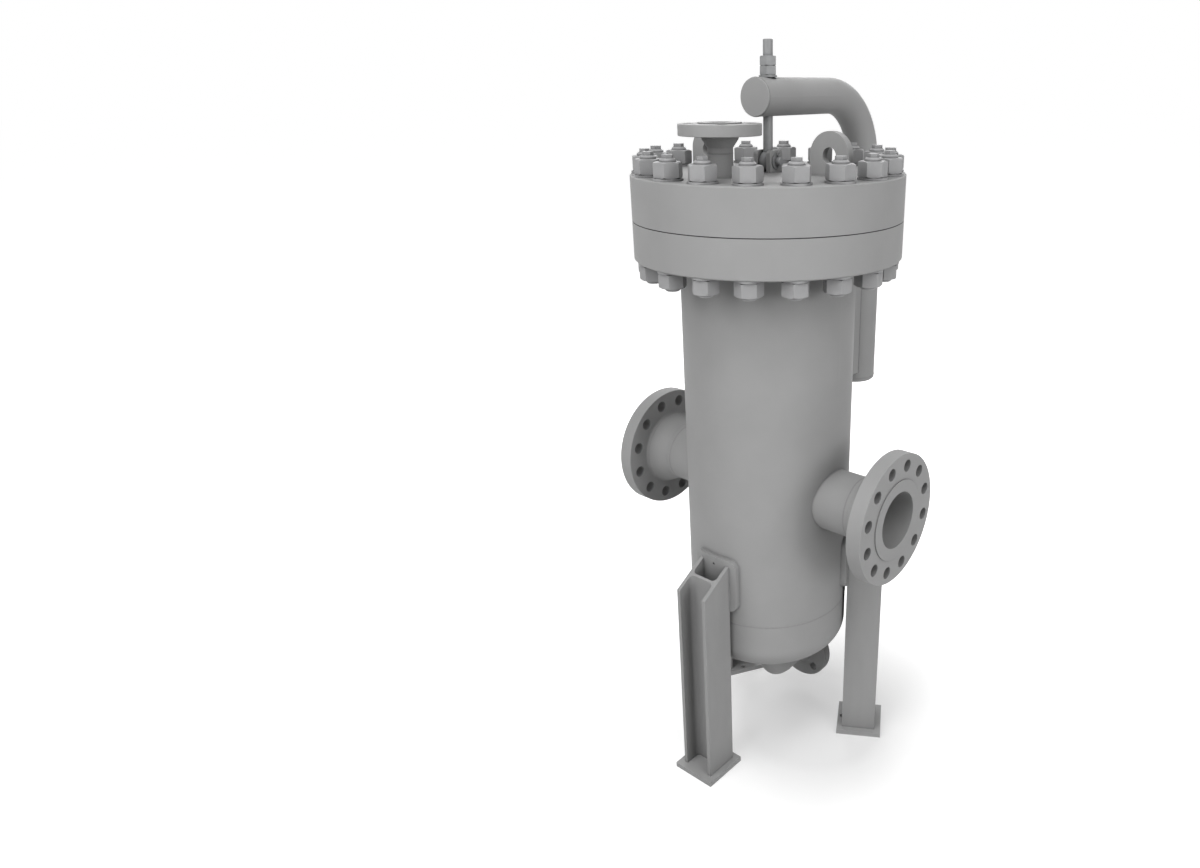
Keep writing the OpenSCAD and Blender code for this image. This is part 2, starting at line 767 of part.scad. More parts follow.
module eye_bolt() {
    color(bare) difference() {
        union() {
            intersection() {
                translate([0, 0, pin_z]) sphere(d = eye_d, $fn = medium);
                translate([-eye_w/2, -eye_d, pin_z - eye_d]) cube([eye_w, 2*eye_d, 2*eye_d]);
            }
            translate([0, 0, pin_z]) rotate_extrude($fn = medium)
                polygon([[0, 0], [jack_d/2, 0], [jack_d/2, jack_top - pin_z - 1.5],
                         [jack_d/2 - 1.5, jack_top - pin_z], [0, jack_top - pin_z]]);
        }
        translate([-eye_w, 0, pin_z]) rotate([0, 90, 0])
            cylinder(d = clevis_pin_d + 2*jack_clear, h = 2*eye_w, $fn = medium);
    }
}

module upper_nuts() {
    color(bare) translate([0, 0, cover_z + washer_t]) on_stud_circle()
        rotate([0, 0, nut_turn]) hex_nut(nut_af, nut_h, nut_bore);
}

module upper_washers() {
    color(bare) translate([0, 0, cover_z]) on_stud_circle() tube(washer_od, nut_bore, washer_t, small);
}

// Post, bend and arm as one solid run of diameter d, longer by more at both ends
module davit_run(d, more) {
    bend_z = arm_z - davit_bend;
    translate([0, davit_y, post_z - more]) cylinder(d = d, h = bend_z - post_z + more, $fn = medium);
    translate([0, davit_y - davit_bend, bend_z]) rotate([90, 0, 90])
        rotate_extrude(angle = 90, $fn = fine) translate([davit_bend, 0]) circle(d = d, $fn = medium);
    translate([0, -arm_tail - more, arm_z]) rotate([-90, 0, 0])
        cylinder(d = d, h = davit_y - davit_bend + arm_tail + more, $fn = medium);
}

module davit_arm() {
    color(paint) difference() {
        davit_run(davit_od, 0);
        davit_run(davit_od - 2*davit_wall, 1);
        translate([0, 0, arm_z - davit_od]) cylinder(d = jack_hole, h = 2*davit_od, $fn = small);
    }
}

module arm_end_cap() {
    r = arm_cap_od/2;
    color(paint) translate([0, -arm_tail, arm_z]) rotate([90, 0, 0]) rotate_extrude($fn = medium)
        polygon([[0, 0], [r, 0], [r, arm_cap_t - 1], [r - 1, arm_cap_t], [0, arm_cap_t]]);
}

module jack_washer() {
    color(bright) translate([0, 0, jack_seat]) tube(jack_washer_od, jack_d + 1, jack_washer_t);
}

module jack_nut() {
    color(bright) translate([0, 0, jack_nut_z]) hex_nut(jack_af, jack_nut_h, jack_d + 2*jack_clear);
}

module lock_nut() {
    color(bright) translate([0, 0, lock_nut_z]) hex_nut(jack_af, jack_nut_h, jack_d + 2*jack_clear);
}

module sieve_seal() {
    color(seal) translate([0, 0, seat_top]) tube(seat_od, nozzle_bore + 2, sieve_seal_t, fine);
}

// End ring of the basket, with the spigot that drops into the seat
module sieve_base() {
    spigot_r = nozzle_bore/2 - spigot_clear;
    color(bright) rotate_extrude($fn = fine)
        polygon([[basket_bore/2, basket_z - sieve_seal_t - spigot_h], [spigot_r, basket_z - sieve_seal_t - spigot_h],
                 [spigot_r, basket_z], [wire_or, basket_z], [wire_or, basket_z + sieve_plate_t],
                 [basket_bore/2, basket_z + sieve_plate_t]]);
}

// Upright rods inside the wires, each with its outer face on the wires' inner edge
module sieve_rods() {
    color(bright) translate([0, 0, basket_z + sieve_plate_t])
        linear_extrude(top_plate_z - basket_z - sieve_plate_t) intersection() {
            difference() {
                circle(r = wire_ir, $fn = fine);
                circle(r = wire_ir - rod_depth, $fn = fine);
            }
            for (i = [0:rod_count - 1]) rotate([0, 0, i*360/rod_count])
                translate([wire_ir - 2*rod_depth, -rod_w/2]) square([3*rod_depth, rod_w]);
        }
}

// Wedge wires: closed rings, wide outside and narrow inside, one above the other
module sieve_wires() {
    color(bright) for (i = [0:wire_n - 1]) translate([0, 0, wire_z0 + i*wire_pitch])
        rotate_extrude($fn = fine)
            polygon([[wire_ir, -wire_tip/2], [wire_or, -wire_w/2], [wire_or, wire_w/2], [wire_ir, wire_tip/2]]);
}

module sieve_top() {
    color(bright) translate([0, 0, top_plate_z]) cylinder(r = wire_or, h = sieve_plate_t, $fn = fine);
}

// Low boss that centres the spring
module spring_cup() {
    r = spring_r - spring_wire/2 - 1;
    color(bright) translate([0, 0, top_plate_top]) rotate_extrude($fn = medium)
        polygon([[0, 0], [r, 0], [r, cup_h - 2], [r - 2, cup_h], [0, cup_h]]);
}

// The coil as rings of points swept along a helix whose last turns lie flat
module hold_down_spring() {
    sides = 8;
    per_turn = 20;
    steps = spring_turns*per_turn;
    lift = spring_h - spring_wire;
    // Share of the rise at turn u: the first and last turn are closed
    function rise(u) = max(0, min(1, (u - 0.75)/(spring_turns - 1.5)));
    function ring(i) = [for (j = [0:sides - 1])
        let (a = i*360/per_turn, b = (j + 0.5)*360/sides, r = spring_r + spring_wire/2*cos(b))
        [r*cos(a), r*sin(a), spring_wire/2*(1 + sin(b)/cos(180/sides)) + lift*rise(i/per_turn)]];
    points = [for (i = [0:steps]) each ring(i)];
    walls = [for (i = [0:steps - 1], j = [0:sides - 1])
        [i*sides + j, i*sides + (j + 1)%sides, (i + 1)*sides + (j + 1)%sides, (i + 1)*sides + j]];
    ends = [[for (j = [sides - 1:-1:0]) j], [for (j = [0:sides - 1]) steps*sides + j]];
    color(bright) translate([0, 0, top_plate_top]) polyhedron(points = points, faces = concat(walls, ends));
}

// Two ears for each handle, on the top plate
module handle_ears() {
    ear_half = handle_d/2 + 5;
    color(bright) for (sx = [-1, 1], sy = [-1, 1])
        translate([sx*(ear_in_x + handle_ear_t/2), sy*handle_y, top_plate_top]) rotate([90, 0, 90])
            linear_extrude(handle_ear_t, center = true) difference() {
                union() {
                    translate([-ear_half, 0]) square([2*ear_half, handle_z]);
                    translate([0, handle_z]) circle(r = ear_half, $fn = medium);
                }
                translate([0, handle_z]) circle(d = handle_d + 2*handle_clear, $fn = medium);
            }
}

// A bail that lies flat towards -Y, with its hinge line on the X axis
module handle() {
    leg_y = handle_reach - handle_r - handle_d/2;
    corner_x = handle_half_w - handle_r;
    bar_y = handle_reach - handle_d/2;
    for (s = [-1, 1]) scale([s, 1, 1]) {
        translate([handle_half_w, 0, 0]) sphere(d = handle_d, $fn = small);
        translate([handle_half_w, 0, 0]) rotate([0, 90, 0])
            cylinder(d = handle_d, h = hinge_len - handle_half_w, $fn = small);
        translate([handle_half_w, -leg_y, 0]) rotate([-90, 0, 0])
            cylinder(d = handle_d, h = leg_y, $fn = small);
        translate([corner_x, -leg_y, 0]) rotate([0, 0, -90]) rotate_extrude(angle = 90, $fn = medium)
            translate([handle_r, 0]) circle(d = handle_d, $fn = small);
        translate([-eps, -bar_y, 0]) rotate([0, 90, 0])
            cylinder(d = handle_d, h = corner_x + eps, $fn = small);
    }
}

module handle_front() { color(bright) translate([0, -handle_y, hinge_z]) handle(); }
module handle_rear() { color(bright) translate([0, handle_y, hinge_z]) rotate([0, 0, 180]) handle(); }

shell();
bottom_head();
body_flange();
cover_gasket();
inlet_pipe();
inlet_flange();
outlet_pipe();
outlet_flange();
outlet_riser();
sieve_seat();
drain_elbow();
drain_flange();
davit_socket();
socket_floor();
davit_brackets();
leg_front();
leg_right();
leg_left();
foot_front();
foot_right();
foot_left();
pad_front();
pad_right();
pad_left();
stud_bolts();
lower_nuts();
lower_washers();
cover_plate();
vent_pipe();
vent_flange();
lug_right();
lug_left();
clevis_ears();
clevis_pin();
clevis_washer();
split_pin();
eye_bolt();
upper_nuts();
upper_washers();
davit_arm();
arm_end_cap();
jack_washer();
jack_nut();
lock_nut();
sieve_seal();
sieve_base();
sieve_rods();
sieve_wires();
sieve_top();
spring_cup();
hold_down_spring();
handle_ears();
handle_front();
handle_rear();
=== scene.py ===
import math
import random

import bmesh
import bpy
from mathutils import Matrix, Vector


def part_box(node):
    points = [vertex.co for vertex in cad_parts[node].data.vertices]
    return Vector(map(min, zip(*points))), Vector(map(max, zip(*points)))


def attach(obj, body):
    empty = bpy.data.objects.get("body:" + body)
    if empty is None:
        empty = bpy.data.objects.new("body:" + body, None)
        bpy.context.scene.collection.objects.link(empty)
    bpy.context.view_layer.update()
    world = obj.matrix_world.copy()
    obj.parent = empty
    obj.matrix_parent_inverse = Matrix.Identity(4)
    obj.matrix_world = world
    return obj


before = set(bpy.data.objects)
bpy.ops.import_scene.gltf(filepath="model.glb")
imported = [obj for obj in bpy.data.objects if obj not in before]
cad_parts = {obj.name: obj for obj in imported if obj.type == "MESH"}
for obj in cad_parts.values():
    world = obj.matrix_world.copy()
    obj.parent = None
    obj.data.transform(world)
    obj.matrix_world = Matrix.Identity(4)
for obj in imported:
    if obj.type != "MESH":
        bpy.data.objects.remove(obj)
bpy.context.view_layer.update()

MM = 0.001

# Sizes that the frame gives
SHELL_LOW, SHELL_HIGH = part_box("shell")
SHELL_R = SHELL_HIGH.x
HEAD_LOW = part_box("bottom_head")[0].z
SEAM_Z = SHELL_LOW.z
FLANGE_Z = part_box("body_flange")[0].z
FLANGE_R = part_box("body_flange")[1].x
JOINT_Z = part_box("cover_plate")[0].z
COVER_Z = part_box("cover_plate")[1].z
INLET_LOW, INLET_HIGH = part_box("inlet_pipe")
NOZZLE_R = (INLET_HIGH.z - INLET_LOW.z) / 2
NOZZLE_Z = (INLET_HIGH.z + INLET_LOW.z) / 2
NOZZLE_HUB_X = INLET_HIGH.x
VENT_LOW, VENT_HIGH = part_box("vent_pipe")
VENT_Y = (VENT_LOW.y + VENT_HIGH.y) / 2
BRANCH_R = (VENT_HIGH.y - VENT_LOW.y) / 2
DRAIN_LOW, DRAIN_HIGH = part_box("drain_elbow")
DRAIN_Z = DRAIN_LOW.z + BRANCH_R
SOCKET_LOW, SOCKET_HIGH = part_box("davit_socket")
SOCKET_R = SOCKET_HIGH.x
SOCKET_Y = (SOCKET_LOW.y + SOCKET_HIGH.y) / 2
CAP_LOW, CAP_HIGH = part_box("arm_end_cap")
BRACKET_LOW, BRACKET_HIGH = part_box("davit_brackets")
FOOT_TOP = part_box("foot_front")[1].z
PAD_LOW, PAD_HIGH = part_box("pad_front")
PAD_R = -PAD_LOW.y
LEG_LOW, LEG_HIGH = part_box("leg_front")

# Sizes that the frame does not give
DRAIN_BEND = 76 * MM
BRACKET_T = 12 * MM
LEG_FLANGE_T = 10 * MM
PAD_CORNER = 25 * MM
LEG_ANGLES = (-90, 30, 150)
# Width of the painted highlight on plate edges
EDGE_WEAR = 1.5 * MM
# Half width of the painted shadow line round the outside of the cover joint
JOINT_DIRT = 1.1 * MM
# How far the painted shade in hollows reaches: wide in sheltered places, narrow in corners
SHELTER = 120 * MM
CORNER = 9 * MM
FILLET_WELD = 1.5 * MM
BUTT_WELD = 4.5 * MM
BUTT_RISE = 0.9 * MM
CAP_WELD = 1.2 * MM
RIPPLE_PITCH = 5 * MM
RIPPLE_SHARE = 0.08
BEAD_SCATTER = 0.03
BEAD_STEP = 3 * MM
PAD_WELD_START = 2 * MM
LEG_WELD_STOP = 4 * MM
DRAIN_WELD_RISE = 1.5 * MM

# Shared colours and levels of the coat, and of the shade and highlight painted on it
DUST = "#2e2e2e"
JOINT_SHADE = "#3c3c3c"
WORN_EDGE = "#bebebe"
OPEN_ENOUGH = 0.9
COAT_SPECULAR = 0.25


def linear(hex_colour):
    """An sRGB hex colour as a linear RGBA tuple."""
    parts = [int(hex_colour[i:i + 2], 16) / 255 for i in (1, 3, 5)]
    return tuple(c / 12.92 if c <= 0.04045 else ((c + 0.055) / 1.055) ** 2.4 for c in parts) + (1.0,)


def add(tree, kind, inputs=None, **settings):
    """Adds a node; inputs maps a socket's name or number to a value or to another node's output."""
    node = tree.nodes.new(kind)
    for name, value in settings.items():
        setattr(node, name, value)
    for name, value in (inputs or {}).items():
        if isinstance(value, bpy.types.NodeSocket):
            tree.links.new(value, node.inputs[name])
        else:
            node.inputs[name].default_value = value
    return node


def new_material(name):
    """A material with an empty tree, and its Principled shader joined to the output."""
    material = bpy.data.materials.new(name)
    material.use_nodes = True
    tree = material.node_tree
    tree.nodes.clear()
    shader = add(tree, "ShaderNodeBsdfPrincipled")
    add(tree, "ShaderNodeOutputMaterial", {"Surface": shader.outputs["BSDF"]})
    return material, tree, shader


def noise(tree, size, detail=3.0, stretch=(1, 1, 1)):
    """Noise whose features are about size metres across, in the object's own space."""
    place = add(tree, "ShaderNodeTexCoord").outputs["Object"]
    mapped = add(tree, "ShaderNodeMapping", {"Vector": place, "Scale": stretch})
    return add(tree, "ShaderNodeTexNoise", {
        "Vector": mapped.outputs["Vector"], "Scale": 1 / size, "Detail": detail,
    }).outputs["Fac"]


def ramp(tree, factor, low, high, from_low=0.3, from_high=0.7):
    """A factor mapped from one range to another."""
    return add(tree, "ShaderNodeMapRange", {
        "Value": factor, "From Min": from_low, "From Max": from_high, "To Min": low, "To Max": high,
    }).outputs["Result"]


def blend_colours(tree, factor, first, second):
    """Two hex colours mixed by a factor."""
    mix = add(tree, "ShaderNodeMix", data_type="RGBA")
    tree.links.new(factor, mix.inputs["Factor"])
    mix.inputs["A"].default_value = linear(first)
    mix.inputs["B"].default_value = linear(second)
    return mix.outputs["Result"]


def bumped(tree, shader, height, strength, distance):
    """Feeds a height into the shader's normal."""
    bump = add(tree, "ShaderNodeBump", {"Height": height, "Strength": strength, "Distance": distance})
    tree.links.new(bump.outputs["Normal"], shader.inputs["Normal"])


def edge_mask(tree, width, start=0.04, end=0.3):
    """1 on an outer or inner edge, within about width metres of it, and 0 on the flat."""
    rounded = add(tree, "ShaderNodeBevel", {"Radius": width}, samples=4)
    flat = add(tree, "ShaderNodeNewGeometry").outputs["Normal"]
    turn = add(tree, "ShaderNodeVectorMath", {0: rounded.outputs["Normal"], 1: flat}, operation="DOT_PRODUCT")
    return ramp(tree, turn.outputs["Value"], 1, 0, 1 - end, 1 - start)


def seam_mask(tree, height, half_width, radius):
    """1 round the outside, beyond a radius and within half_width metres of a height, and 0 elsewhere."""
    place = add(tree, "ShaderNodeTexCoord").outputs["Object"]
    up = add(tree, "ShaderNodeSeparateXYZ", {"Vector": place}).outputs["Z"]
    away = add(tree, "ShaderNodeMath", {0: up, 1: height}, operation="SUBTRACT").outputs[0]
    size = add(tree, "ShaderNodeMath", {0: away}, operation="ABSOLUTE").outputs[0]
    near = ramp(tree, size, 1, 0, half_width * 0.8, half_width * 1.2)
    level = add(tree, "ShaderNodeVectorMath", {0: place, 1: (1, 1, 0)}, operation="MULTIPLY")
    reach = add(tree, "ShaderNodeVectorMath", {0: level.outputs["Vector"]},
                operation="LENGTH").outputs["Value"]
    outside = add(tree, "ShaderNodeMath", {0: reach, 1: radius}, operation="GREATER_THAN").outputs[0]
    return add(tree, "ShaderNodeMath", {0: near, 1: outside}, operation="MULTIPLY").outputs[0]


def over(tree, factor, under, hex_colour):
    """A colour laid over another by a factor."""
    mix = add(tree, "ShaderNodeMix", data_type="RGBA")
    tree.links.new(factor, mix.inputs["Factor"])
    tree.links.new(under, mix.inputs["A"])
    mix.inputs["B"].default_value = linear(hex_colour)
    return mix.outputs["Result"]


def dusted(tree, colour, wide=0.55, narrow=0.6):
    """A colour with painted shade: a little darker in sheltered places, more in the corners themselves."""
    for reach, most in ((SHELTER, wide), (CORNER, narrow)):
        open_part = add(tree, "ShaderNodeAmbientOcclusion", {"Distance": reach}, samples=2).outputs["AO"]
        colour = over(tree, ramp(tree, open_part, most, 0, 0, OPEN_ENOUGH), colour, DUST)
    return colour


# Two-pack polyurethane topcoat, sprayed: satin, with a faint orange peel, clouds of thicker and
# thinner film that turn the grey a shade lighter or darker, painted shade in its hollows and corners,
# and, when a joint height is given, a painted shadow line round the outside of that joint
def satin_topcoat(name="satin_topcoat", joint=None):
    material, tree, shader = new_material(name)
    clouds = noise(tree, 120 * MM, detail=4)
    specks = noise(tree, 4 * MM, detail=2)
    colour = blend_colours(tree, ramp(tree, clouds, 0, 1), "#a4a4a4", "#a9a9a9")
    # Painted shade: darker in sheltered places and corners
    colour = dusted(tree, colour)
    if joint is not None:
        # Painted shadow: a dark line round the outside of the joint, where the gap between flange and cover
        # is in shade
        seam = seam_mask(tree, joint, JOINT_DIRT, FLANGE_R - 2 * JOINT_DIRT)
        colour = over(tree, seam, colour, JOINT_SHADE)
    tree.links.new(colour, shader.inputs["Base Color"])
    tree.links.new(ramp(tree, specks, 0.56, 0.66), shader.inputs["Roughness"])
    # The peel of a sprayed coat is about 2 mm across; drawn at 3 mm so that it shows
    bumped(tree, shader, noise(tree, 3 * MM, detail=1), 0.1, 0.2 * MM)
    shader.inputs["Specular IOR Level"].default_value = COAT_SPECULAR
    return material


# Rolled and thermally cut plate under the same coat: a little rougher, with the mill's long soft streaks,
# a painted highlight on every outer and inner edge, and painted shade in its hollows and corners unless that
# is switched off
def coated_plate(name="coated_plate", dusty=True):
    material, tree, shader = new_material(name)
    streaks = noise(tree, 30 * MM, detail=4, stretch=(1, 1, 0.15))
    colour = blend_colours(tree, ramp(tree, streaks, 0, 1), "#a1a1a1", "#a6a6a6")
    # Painted highlight: a lighter grey on every outer and inner edge
    colour = over(tree, edge_mask(tree, EDGE_WEAR), colour, WORN_EDGE)
    if dusty:
        # Painted shade: darker in sheltered places and corners
        colour = dusted(tree, colour)
    tree.links.new(colour, shader.inputs["Base Color"])
    tree.links.new(ramp(tree, streaks, 0.58, 0.66), shader.inputs["Roughness"])
    bumped(tree, shader, noise(tree, 3 * MM, detail=2), 0.14, 0.2 * MM)
    shader.inputs["Specular IOR Level"].default_value = COAT_SPECULAR
    return material


# Manual arc weld bead under the coat: the ripples are in the mesh, the coat adds fine grain; its grey is a
# shade darker than the coat as painted shade along each joint, and painted shade darkens its hollows
def coated_weld():
    material, tree, shader = new_material("coated_weld")
    grain = noise(tree, 2 * MM, detail=3)
    # Painted shade: the bead's grey is a little darker than the coat's, so that a dark line runs along each
    # joint
    colour = blend_colours(tree, ramp(tree, grain, 0, 1), "#989898", "#a2a2a2")
    # Painted shade: darker in sheltered places and corners
    colour = dusted(tree, colour)
    tree.links.new(colour, shader.inputs["Base Color"])
    shader.inputs["Roughness"].default_value = 0.62
    bumped(tree, shader, grain, 0.3, 0.3 * MM)
    shader.inputs["Specular IOR Level"].default_value = COAT_SPECULAR
    return material


# Alloy stud steel with a dull flake coating: light grey, only faintly metallic, with painted shade in its
# hollows and more in its corners
def flake_coated_steel():
    material, tree, shader = new_material("flake_coated_steel")
    flakes = noise(tree, 2 * MM, detail=3)
    patches = noise(tree, 25 * MM, detail=2)
    colour = blend_colours(tree, ramp(tree, patches, 0, 1), "#a4a4a5", "#aaaaab")
    # Painted shade: darker in sheltered places, and stronger in the corners than on the coat
    colour = dusted(tree, colour, narrow=0.85)
    tree.links.new(colour, shader.inputs["Base Color"])
    tree.links.new(ramp(tree, flakes, 0.5, 0.62), shader.inputs["Roughness"])
    bumped(tree, shader, flakes, 0.08, 0.1 * MM)
    shader.inputs["Metallic"].default_value = 0.05
    shader.inputs["Specular IOR Level"].default_value = 0.3
    return material


# Zinc-plated turned steel gone dull: the lathe's fine rings are left under the plating; painted shade darkens
# its hollows and corners
def zinc_plated_steel():
    material, tree, shader = new_material("zinc_plated_steel")
    rings = noise(tree, 1.5 * MM, detail=2, stretch=(0.2, 0.2, 1))
    patches = noise(tree, 15 * MM, detail=3)
    colour = blend_colours(tree, ramp(tree, patches, 0, 1), "#929394", "#9c9d9e")
    # Painted shade: darker in sheltered places and corners
    colour = dusted(tree, colour)
    tree.links.new(colour, shader.inputs["Base Color"])
    tree.links.new(ramp(tree, rings, 0.44, 0.58), shader.inputs["Roughness"])
    bumped(tree, shader, rings, 0.08, 0.1 * MM)
    shader.inputs["Metallic"].default_value = 0.1
    shader.inputs["Specular IOR Level"].default_value = 0.35
    return material


# Pickled stainless steel: matt silver, clouded where the acid bit more or less
def pickled_stainless():
    material, tree, shader = new_material("pickled_stainless")
    clouds = noise(tree, 40 * MM, detail=5)
    grain = noise(tree, 1.5 * MM, detail=2)
    colour = blend_colours(tree, ramp(tree, clouds, 0, 1), "#b0afac", "#c3c2bf")
    tree.links.new(colour, shader.inputs["Base Color"])
    tree.links.new(ramp(tree, clouds, 0.34, 0.48), shader.inputs["Roughness"])
    bumped(tree, shader, grain, 0.12, 0.1 * MM)
    shader.inputs["Metallic"].default_value = 0.85
    return material


# Cold-drawn wedge wire: bright, with the draw marks running round the sieve
def drawn_wedge_wire():
    material, tree, shader = new_material("drawn_wedge_wire")
    marks = noise(tree, 0.8 * MM, detail=2, stretch=(0.05, 0.05, 1))
    colour = blend_colours(tree, ramp(tree, marks, 0, 1), "#b9b9b7", "#cfcfcd")
    tree.links.new(colour, shader.inputs["Base Color"])
    tree.links.new(ramp(tree, marks, 0.24, 0.38), shader.inputs["Roughness"])
    bumped(tree, shader, marks, 0.15, 0.1 * MM)
    shader.inputs["Metallic"].default_value = 1.0
    return material


# Patented spring wire: darker than stainless, smooth, with a thin film of oil
def oiled_spring_wire():
    material, tree, shader = new_material("oiled_spring_wire")
    film = noise(tree, 12 * MM, detail=3)
    colour = blend_colours(tree, ramp(tree, film, 0, 1), "#6f7174", "#85878a")
    tree.links.new(colour, shader.inputs["Base Color"])
    tree.links.new(ramp(tree, film, 0.22, 0.36), shader.inputs["Roughness"])
    shader.inputs["Metallic"].default_value = 0.95
    return material


# Pressed graphite sheet: nearly black, with a metallic glint on its flakes
def pressed_graphite():
    material, tree, shader = new_material("pressed_graphite")
    flakes = noise(tree, 1.2 * MM, detail=4)
    colour = blend_colours(tree, ramp(tree, flakes, 0, 1), "#2c2c2e", "#424245")
    tree.links.new(colour, shader.inputs["Base Color"])
    tree.links.new(ramp(tree, flakes, 0.35, 0.6), shader.inputs["Roughness"])
    bumped(tree, shader, flakes, 0.2, 0.1 * MM)
    shader.inputs["Metallic"].default_value = 0.3
    return material


# Nitrile rubber, moulded: black, dull, with the bloom of sulphur in faint clouds
def nitrile_rubber():
    material, tree, shader = new_material("nitrile_rubber")
    bloom = noise(tree, 18 * MM, detail=4)
    colour = blend_colours(tree, ramp(tree, bloom, 0, 1), "#1c1c1c", "#2a2a2b")
    tree.links.new(colour, shader.inputs["Base Color"])
    tree.links.new(ramp(tree, bloom, 0.6, 0.78), shader.inputs["Roughness"])
    bumped(tree, shader, noise(tree, 1 * MM, detail=2), 0.1, 0.1 * MM)
    return material


TOPCOAT = satin_topcoat()
# The flange and cover coat carries the painted shadow line at their joint
JOINT_COAT = satin_topcoat("satin_topcoat_joint", joint=JOINT_Z)
PLATE = coated_plate()
# The base plates get no painted shade in their hollows, since the floor beside them would darken them all
# round
BASE_PLATE = coated_plate("coated_base_plate", dusty=False)
WELD = coated_weld()
FASTENER = flake_coated_steel()
ZINC = zinc_plated_steel()
STAINLESS = pickled_stainless()
WIRE = drawn_wedge_wire()
SPRING = oiled_spring_wire()
GRAPHITE = pressed_graphite()
RUBBER = nitrile_rubber()

FINISHES = {
    JOINT_COAT: ("body_flange", "cover_plate"),
    TOPCOAT: ("shell", "bottom_head", "inlet_pipe", "inlet_flange",
              "outlet_pipe", "outlet_flange", "drain_elbow", "drain_flange", "davit_socket",
              "socket_floor", "vent_pipe", "vent_flange", "davit_arm", "arm_end_cap"),
    PLATE: ("davit_brackets", "leg_front", "leg_right", "leg_left", "pad_front", "pad_right",
            "pad_left", "lug_right", "lug_left", "clevis_ears"),
    BASE_PLATE: ("foot_front", "foot_right", "foot_left"),
    FASTENER: ("stud_bolts", "lower_nuts", "lower_washers", "upper_nuts", "upper_washers"),
    ZINC: ("clevis_pin", "clevis_washer", "split_pin", "eye_bolt", "jack_washer", "jack_nut", "lock_nut"),
    STAINLESS: ("outlet_riser", "sieve_seat", "sieve_base", "sieve_rods", "sieve_top", "spring_cup",
                "handle_ears", "handle_front", "handle_rear"),
    WIRE: ("sieve_wires",),
    SPRING: ("hold_down_spring",),
    GRAPHITE: ("cover_gasket",),
    RUBBER: ("sieve_seal",),
}


def dress_nodes():
    """Gives each CAD node its finish."""
    for material, names in FINISHES.items():
        for name in names:
            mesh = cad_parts[name].data
            mesh.materials.clear()
            mesh.materials.append(material)


def circle(centre, radius, axis):
    """Points round a circle whose axis is x, y or z."""
    count = max(16, round(2 * math.pi * radius / BEAD_STEP))
    turn = {"x": Matrix.Rotation(math.pi / 2, 3, "Y"), "y": Matrix.Rotation(-math.pi / 2, 3, "X"),
            "z": Matrix.Identity(3)}[axis]
    return [Vector(centre) + turn @ Vector((radius * math.cos(a), radius * math.sin(a), 0))
            for a in (2 * math.pi * i / count for i in range(count))]


def line(start, end):
    """Points along a straight run."""
    start, end = Vector(start), Vector(end)
    count = max(2, round((end - start).length / BEAD_STEP))
    return [start.lerp(end, i / count) for i in range(count + 1)]


def loop(corners):
    """Points round a closed run with sharp corners."""
    points = []
    for first, second in zip(corners, corners[1:] + corners[:1]):
        points += line(first, second)[:-1]
    return points


def turned(points, degrees):
    """Points turned round the vessel's axis."""
    turn = Matrix.Rotation(math.radians(degrees), 3, "Z")
    return [turn @ p for p in points]


class WeldRun:
    """Weld beads of one body, laid along paths and kept in one mesh."""

    SIDES = 8

    def __init__(self, seed):
        self.mesh = bmesh.new()
        self.chance = random.Random(seed)

    def lay(self, path, radius, closed=True):
        """A rippled bead along a path."""
        count = len(path)
        rings = []
        side = None
        travelled = 0.0
        for i, point in enumerate(path):
            before = path[i - 1] if closed or i > 0 else point
            after = path[(i + 1) % count] if closed or i < count - 1 else point
            along = (after - before).normalized()
            if side is None:
                side = along.orthogonal().normalized()
            side = (side - along * side.dot(along)).normalized()
            other = along.cross(side)
            travelled += (point - before).length
            ripple = abs(math.sin(math.pi * travelled / RIPPLE_PITCH))
            scatter = self.chance.uniform(-BEAD_SCATTER, BEAD_SCATTER)
            size = radius * (1 - RIPPLE_SHARE + RIPPLE_SHARE * ripple + scatter)
            rings.append([self.mesh.verts.new(point + size * (
                math.cos(a) * side + math.sin(a) * other))
                for a in (2 * math.pi * j / self.SIDES for j in range(self.SIDES))])
        self.skin(rings, closed)

    def skin(self, rings, closed):
        """Faces between neighbouring rings of one bead."""
        pairs = list(zip(rings, rings[1:]))
        if closed:
            first, last = rings[0], rings[-1]
            shift = min(range(self.SIDES), key=lambda k: (first[k].co - last[0].co).length)
            pairs.append((last, first[shift:] + first[:shift]))
        else:
            self.mesh.faces.new(list(reversed(rings[0])))
            self.mesh.faces.new(rings[-1])
        for low, high in pairs:
            for j in range(self.SIDES):
                k = (j + 1) % self.SIDES
                self.mesh.faces.new((low[j], low[k], high[k], high[j]))

    def finish(self, name, body):
        """The beads as one smooth object that rides on a body."""
        bmesh.ops.recalc_face_normals(self.mesh, faces=self.mesh.faces)
        mesh = bpy.data.meshes.new(name)
        self.mesh.to_mesh(mesh)
        self.mesh.free()
        mesh.shade_smooth()
        mesh.materials.append(WELD)
        piece = bpy.data.objects.new(name, mesh)
        bpy.context.scene.collection.objects.link(piece)
        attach(piece, body)


def saddle(side):
    """The line where a main nozzle meets the shell, on the +X or -X side."""
    return [Vector((side * math.sqrt(SHELL_R ** 2 - p.y ** 2), p.y, p.z))
            for p in circle((0, 0, NOZZLE_Z), NOZZLE_R, "x")]


